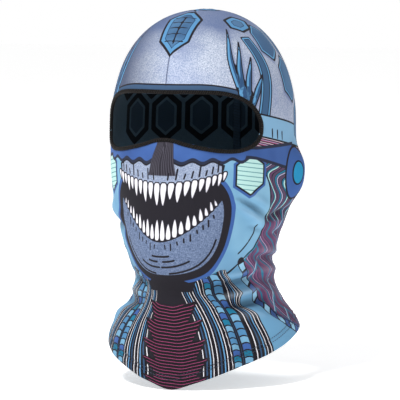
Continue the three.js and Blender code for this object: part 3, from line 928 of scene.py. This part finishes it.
def paintMouth(p):
    p.frame("mask", ("black", 0.0))
    p.frame("chin", (p.mottle("#455575", "#7B8BA8", p.weave, 0.24), 0.5))
    p.frame("gums", ("black", -1.2), (p.mottle("#6B7996", "#A9B4C9", p.heather, 0.4), 0.4))
    p.frame("throat", ("black", 0.0))


def paintThroat(p):
    # stripes on each side, two banded tubes between them, and bars down the middle
    fan, top = p.fields["fan"], p.over(p.fields["fanTop"], 0.0, 0.6)
    inFan = p.times(p.between(fan, -0.02, 4.0, 0.02), top)
    unit = [(0, "soot"), (0.16, "white"), (0.22, "soot"), (0.38, "deepSteel"), (0.48, "soot"), (0.64, "lightBlue"),
            (0.72, "soot"), (0.86, "white"), (0.92, "soot")]
    p.lay("black", p.times(top, p.less(p.over(fan, 0.0, 0.02))))
    p.lay(p.bars(fan, 1 / 2.2, *unit), inFan)
    p.lay(p.bars(p.math("SUBTRACT", fan, 3.0), 1 / 1.35, *unit), p.times(inFan, p.over(fan, 3.0, 0.01)))
    for start, pitch in ((1.0, 5.2), (2.0, 6.0)):
        tube = p.times(p.between(fan, start + 0.03, start + 0.97, 0.02), inFan)
        core = p.times(p.between(fan, start + 0.17, start + 0.83, 0.03), tube)
        middle = p.math("SUBTRACT", fan, start + 0.5)
        along = p.math("DIVIDE", p.plus(p.up, p.times(middle, middle, 9.0)), pitch)
        p.lay("black", tube)
        p.lay(p.bars(along, 6.0, (0, "tubeBlue"), (1 / 6, "tubePale"), (2 / 6, "teal"), (0.5, "royal"), (4 / 6, "tubePale"),
                     (5 / 6, "tubeBlue")), core)
        p.lay("black", p.times(core, p.less(p.over(p.math("FRACT", along), 0.2, 0.05))))
    p.lay("#1E1B22", p.field("ribs", -2.2))
    p.lay(p.bars(p.fields["ribPhase"], 2.72, (0, "#17141A"), (0.56, "magenta"), (0.70, "#3E1D30"), (0.80, "#17141A")),
          p.field("ribs", 0.0, 0.5))
    p.lay("black", p.field("chain", 0.0))
    bead = p.math("DIVIDE", p.fields["chainRun"], 7.5)
    apart = p.over(p.math("FRACT", bead), 0.22, 0.06)
    p.lay(p.bars(bead, 2.0, (0, "#8FBEDA"), (0.5, "royal")), p.times(p.field("chain", 1.2), apart))


def paintDetails(p):
    # nose, thin lines and teeth, then painted shade in the folds' hollows and a painted highlight on their ridges
    fall = p.math("MAXIMUM", p.times(p.plus(p.up, -10), -0.3), 2.0)
    p.lay(p.bars(p.math("DIVIDE", p.half, fall), 1 / 7.0, (0, "#2B2931"), (0.55, "#46434E")), p.field("nose", 0.0, 0.8))
    p.frame("lines", ("black", 0.0, 0.3))
    enamel = p.mix(tone("#F4F2F4"), tone("#C9C6D2"), p.less(p.field("teeth", 1.1, 0.6)))
    p.frame("teeth", ("black", -0.5), (enamel, 0.55, 0.3))
    # painted shade in the fold hollows
    p.lay("#0F1522", p.times(p.over(p.times(p.fields["lift"], -1), 2.0, 3.6), 0.5))
    # painted highlight on the fold ridges
    p.lay("#DDE6F0", p.times(p.over(p.fields["lift"], 2.6, 3.6), 0.16))


def printMaterial():
    material, tree, shader = plainMaterial("printed_knit", "#9FB0CC", 0.8, 0.03)
    p = Painter(tree)
    p.half, p.up = p.fields["half"], p.fields["up"]
    p.heather, p.cloud = p.noise(knit["heather"], 2.0, 0.7), p.noise(knit["cloud"])
    p.weave = p.times(p.plus(*(p.noise(knit["weave"], 2.0, 0.7, way) for way in ((1, 1, 4), (4, 4, 1)))), 0.5)
    for paint in (paintCrown, paintNeck, paintCheeks, paintStraps, paintPlates, paintMouth, paintThroat, paintDetails):
        paint(p)
    p.link(p.coat, shader.inputs["Base Color"])
    # knitted ribs and fuzz
    rib = p.math("SINE", p.times(p.fields["across"], 2 * math.pi / knit["ribPitch"]))
    raised = p.node("ShaderNodeBump")
    raised.inputs["Strength"].default_value = knit["bump"]
    raised.inputs["Distance"].default_value = knit["bumpDepth"]
    p.link(p.plus(p.times(rib, 0.35), p.noise(knit["fuzz"], 2.0, 0.6)), raised.inputs["Height"])
    p.link(raised.outputs[0], shader.inputs["Normal"])
    return material


def liningMaterial():
    material, tree, shader = plainMaterial("knit_reverse", "#2F3F4D", 0.9, 0.1)
    p = Painter(tree)
    p.coat = p.mottle("#4C6272", "#5A7383", p.noise(1300, 2.0, 0.6), 0.4)
    p.frame("lining", ("#171D24", 0.0, 0.6))
    p.frame("liningPlate", ("#36495A", 1.0, 0.6))
    p.link(p.coat, shader.inputs["Base Color"])
    return material


hood.data.materials.append(printMaterial())
hood.data.materials.append(liningMaterial())
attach(hood, "root")
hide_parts("hood_panel")
print("print painted")


binding = {
    "width": 2.9, "top": 0.85, "bottom": -1.75, "bandSteps": 280, "black": "#070607",
    "stitches": 210, "slant": 1.5, "above": 0.08, "threadRadius": 0.14, "thread": "#2E2825",
}


def eyeRing(steps):
    # points round the eye opening, with the way along the cloth and the way out of it
    outline = eyeOutline()
    outline = outline[np.linspace(0, len(outline), steps, endpoint=False).astype(int)]
    turn, up = outline[:, 0] / hoodForm["round"], outline[:, 1]
    place, normal = clothPoint(turn, up)
    along = np.roll(place, -1, axis=0) - np.roll(place, 1, axis=0)
    along /= np.linalg.norm(along, axis=1, keepdims=True)
    inward = np.cross(normal, along)
    middle = place.mean(0)
    if np.sum((place - middle) * inward) < 0:
        inward = -inward
    return place, along, inward, normal


def addObject(name, data, material):
    made = bpy.data.objects.new(name, data)
    bpy.context.collection.objects.link(made)
    made.data.materials.append(material)
    return made


def closedBand(name, places, material):
    # a tube of points, rows round it and columns across it
    rows, columns = places.shape[:2]
    bm = bmesh.new()
    bmesh.ops.create_grid(bm, x_segments=columns, y_segments=rows, size=0.5)
    for v in bm.verts:
        i = round((v.co.x + 0.5) * columns)
        j = round((v.co.y + 0.5) * rows)
        v.co = places[j % rows, i % columns] * mm
    bmesh.ops.remove_doubles(bm, verts=bm.verts, dist=1e-6)
    bmesh.ops.recalc_face_normals(bm, faces=bm.faces)
    mesh = bpy.data.meshes.new(name)
    bm.to_mesh(mesh)
    bm.free()
    for poly in mesh.polygons:
        poly.use_smooth = True
    return addObject(name, mesh, material)


def threadObject(name, runs, radius, material, closed=False):
    curve = bpy.data.curves.new(name, "CURVE")
    curve.dimensions = "3D"
    curve.bevel_depth = radius * mm
    curve.bevel_resolution = 1
    curve.use_fill_caps = not closed
    for run in runs:
        spline = curve.splines.new("POLY")
        spline.points.add(len(run) - 1)
        spline.use_cyclic_u = closed
        spline.points.foreach_set("co", np.hstack([np.asarray(run) * mm, np.ones((len(run), 1))]).ravel())
        spline.use_smooth = True
    return addObject(name, curve, material)


darkThread = plainMaterial("dark_thread", binding["thread"], 0.55, 0.05)[0]


def makeBinding():
    w, top, bottom = binding["width"], binding["top"], binding["bottom"]
    middle, shoulder = w * 0.45, w - 0.9
    section = [
        (w, 0.1), (w - 0.15, top * 0.7), (shoulder, top), (middle, top + 0.15), (0.6, top + 0.1), (-0.15, top * 0.7),
        (-0.6, 0.05), (-0.7, -0.6), (-0.5, -1.2), (-0.2, bottom), (middle, bottom - 0.15), (shoulder, bottom),
        (w - 0.15, bottom * 0.8), (w, -0.9),
    ]
    across, out = np.array(section).T
    place, along, inward, normal = eyeRing(binding["bandSteps"])
    places = place[:, None] + inward[:, None] * across[None, :, None] + normal[:, None] * out[None, :, None]
    blackKnit = plainMaterial("black_binding", binding["black"], 0.75, 0.03)[0]
    band = closedBand("eye_binding_band", places, blackKnit)
    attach(band, "root")
    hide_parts("eye_binding")
    # slanting stitches over the band's face
    sides = [-0.55, -0.15, 0.6, middle, shoulder, w - 0.1]
    heights = [0.1, top * 0.7, top + 0.1, top + 0.17, top + 0.03, top * 0.6]
    place, along, inward, normal = eyeRing(binding["stitches"])
    runs = []
    for k in range(len(place)):
        run = []
        for t in np.linspace(0, 1, 5):
            side = -0.5 + (w + 0.2) * t
            height = np.interp(side, sides, heights) + binding["above"]
            run.append(place[k] + inward[k] * side + normal[k] * height + along[k] * (binding["slant"] * (t - 0.5)))
        runs.append(run)
    threads = threadObject("eye_binding_stitches", runs, binding["threadRadius"], darkThread)
    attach(threads, "root")
    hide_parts("eye_binding_thread")


makeBinding()
print("binding made")


seam = {
    "halfWidth": 3.5, "start": 34.1, "thickness": 1.1, "under": 0.05, "aboveHem": 4, "apexGap": 0.5,
    "frontSteps": 60, "backSteps": 150, "pitch": 2.6, "radius": 0.22, "lap": 0.8,
}


def seamPath():
    # over the crown and down the back, on the inside
    apex = hoodForm["crownArc"] - seam["apexGap"]
    hem = float(hemHeight(np.array(np.pi))) + hoodForm["turnUp"] + seam["aboveHem"]
    front, back = np.linspace(seam["start"], apex, seam["frontSteps"]), np.linspace(apex, hem, seam["backSteps"])
    turns = np.concatenate([np.zeros(len(front)), np.full(len(back), np.pi)])
    place, normal = clothPoint(turns, np.concatenate([front, back]))
    return place - normal * (hoodForm["thickness"] + seam["under"]), -normal


def makeSeam():
    place, inside = seamPath()
    half, thick = seam["halfWidth"], seam["thickness"]
    section = [
        (-half, 0), (-half + 0.3, thick * 0.7), (-half + 1, thick), (0, thick * 1.05), (half - 1, thick),
        (half - 0.3, thick * 0.7), (half, 0),
    ]
    sideways = np.array([1.0, 0, 0])
    bm = bmesh.new()
    bmesh.ops.create_grid(bm, x_segments=len(section), y_segments=len(place) - 1, size=0.5)
    for v in bm.verts:
        i = round((v.co.x + 0.5) * len(section)) % len(section)
        j = round((v.co.y + 0.5) * (len(place) - 1))
        v.co = (place[j] + sideways * section[i][0] + inside[j] * section[i][1]) * mm
    bmesh.ops.remove_doubles(bm, verts=bm.verts, dist=1e-6)
    bmesh.ops.holes_fill(bm, edges=bm.edges, sides=20)
    bmesh.ops.recalc_face_normals(bm, faces=bm.faces)
    mesh = bpy.data.meshes.new("centre_seam_tape")
    bm.to_mesh(mesh)
    bm.free()
    tape = addObject("centre_seam_tape", mesh, plainMaterial("seam_knit", "#42566A", 0.9, 0.02)[0])
    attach(tape, "root")
    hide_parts("centre_seam_overlock")
    run = np.concatenate([[0], np.cumsum(np.linalg.norm(np.diff(place, axis=0), axis=1))])
    # each loop crosses the tape: to the side, above it, and how far along its pitch
    loop = [
        (-half, 0.25, 0), (-half + 0.8, thick + 0.1, 0.2), (0, thick + 0.2, 0.5), (half - 0.8, thick + 0.1, 0.8),
        (half, 0.25, 1),
    ]
    loops = []
    for k in range(int(run[-1] / seam["pitch"])):
        points = []
        for side, lift, step in loop:
            at = (k + step * seam["lap"]) * seam["pitch"]
            spot = np.array([np.interp(at, run, place[:, c]) for c in range(3)])
            way = np.array([np.interp(at, run, inside[:, c]) for c in range(3)])
            points.append(spot + sideways * side + way * lift)
        loops.append(points)
    seamThread = plainMaterial("seam_thread", "#3A4A57", 0.8, 0.02)[0]
    stitches = threadObject("centre_seam_stitches", loops, seam["radius"], seamThread)
    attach(stitches, "root")


makeSeam()
print("centre seam made")


hemStitch = {
    "upper": 11.0, "spacing": 3.2, "count": 190, "radius": 0.26, "lifts": (-0.2, 0.22, 0.3, 0.22, -0.2),
    "looperCount": 380, "looperHalf": 1.9, "looperRadius": 0.28, "looperUnder": 0.25,
}


def makeHemStitches():
    # two rows of needle thread outside: each stitch rises out of the cloth and dips back
    hemThread = plainMaterial("hem_thread", "#3A4252", 0.6, 0.15)[0]
    upper, lower = hemStitch["upper"], hemStitch["upper"] - hemStitch["spacing"]
    count, parts = hemStitch["count"], 6
    turn = np.linspace(-np.pi, np.pi, count * parts, endpoint=False)
    for name, rise, node in (("upper", upper, "hem_needle_thread_upper"), ("lower", lower, "hem_needle_thread_lower")):
        line, out = clothPoint(turn, hemHeight(turn) + rise)
        runs = []
        for k in range(count):
            points = [(k * parts + n) % len(turn) for n in range(len(hemStitch["lifts"]))]
            runs.append([line[i] + out[i] * lift for i, lift in zip(points, hemStitch["lifts"])])
        stitches = threadObject("hem_stitches_" + name, runs, hemStitch["radius"], hemThread)
        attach(stitches, "root")
        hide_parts(node)
    # the looper thread zigzags between them on the inside
    turn = np.linspace(-np.pi, np.pi, hemStitch["looperCount"], endpoint=False)
    swing = np.where(np.arange(len(turn)) % 2 == 0, 1.0, -1.0) * hemStitch["looperHalf"]
    place, normal = clothPoint(turn, hemHeight(turn) + (upper + lower) / 2 + swing)
    inside = place - normal * (2 * hoodForm["foldRadius"] + hemStitch["looperUnder"])
    looperThread = plainMaterial("looper_thread", "#2E3542", 0.7, 0.1)[0]
    looper = threadObject("hem_looper_zigzag", [inside], hemStitch["looperRadius"], looperThread, True)
    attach(looper, "root")
    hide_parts("hem_looper_thread")


makeHemStitches()
print("hem stitched")


studio = {
    "floor": -0.2325, "paper": 0.5, "behind": 1.0, "front": 0.36, "fade": (0.2, 0.92),
    "keyLight": {"place": (-0.35, -1.25, 1.75), "aim": (0, 0, -0.05), "size": 0.45, "power": 43},
    "fillLight": {"place": (1.6, -1.3, 0.6), "aim": (0, 0, -0.08), "size": 1.3, "power": 6},
}


def makeFloor():
    bm = bmesh.new()
    bmesh.ops.create_grid(bm, x_segments=1, y_segments=1, size=8.0)
    bmesh.ops.translate(bm, verts=bm.verts, vec=(0, 0, studio["floor"]))
    mesh = bpy.data.meshes.new("studioFloor")
    bm.to_mesh(mesh)
    bm.free()
    paper, _, shader = plainMaterial("studioPaper", "#FFFFFF", 0.95)
    shader.inputs["Emission Color"].default_value = (1, 1, 1, 1)
    shader.inputs["Emission Strength"].default_value = studio["paper"]
    floor = addObject("studioFloor", mesh, paper)


def areaLight(name):
    lamp = studio[name]
    data = bpy.data.lights.new(name, "AREA")
    data.shape, data.size, data.energy = "DISK", lamp["size"], lamp["power"]
    light = bpy.data.objects.new(name, data)
    light.location = lamp["place"]
    light.rotation_euler = (Vector(lamp["aim"]) - Vector(lamp["place"])).to_track_quat("-Z", "Y").to_euler()
    bpy.context.collection.objects.link(light)


def makeWorld():
    # white light, brighter behind the hood than in front of it
    world = bpy.data.worlds.new("studioWorld")
    world.use_nodes = True
    tree = world.node_tree
    background = tree.nodes["Background"]
    background.inputs["Color"].default_value = (1, 1, 1, 1)
    direction = tree.nodes.new("ShaderNodeTexCoord").outputs["Generated"]
    behind = tree.nodes.new("ShaderNodeVectorMath")
    behind.operation = "DOT_PRODUCT"
    azimuth = math.radians(view["azimuth"])
    behind.inputs[1].default_value = (-math.sin(azimuth), math.cos(azimuth), 0)
    fade = tree.nodes.new("ShaderNodeMapRange")
    fade.inputs["From Min"].default_value, fade.inputs["From Max"].default_value = studio["fade"]
    fade.inputs["To Min"].default_value, fade.inputs["To Max"].default_value = studio["front"], studio["behind"]
    tree.links.new(direction, behind.inputs[0])
    tree.links.new(behind.outputs["Value"], fade.inputs["Value"])
    tree.links.new(fade.outputs[0], background.inputs["Strength"])
    bpy.context.scene.world = world


makeFloor()
makeWorld()
areaLight("keyLight")
areaLight("fillLight")
bpy.context.scene.view_settings.view_transform = "Standard"
print("studio ready")
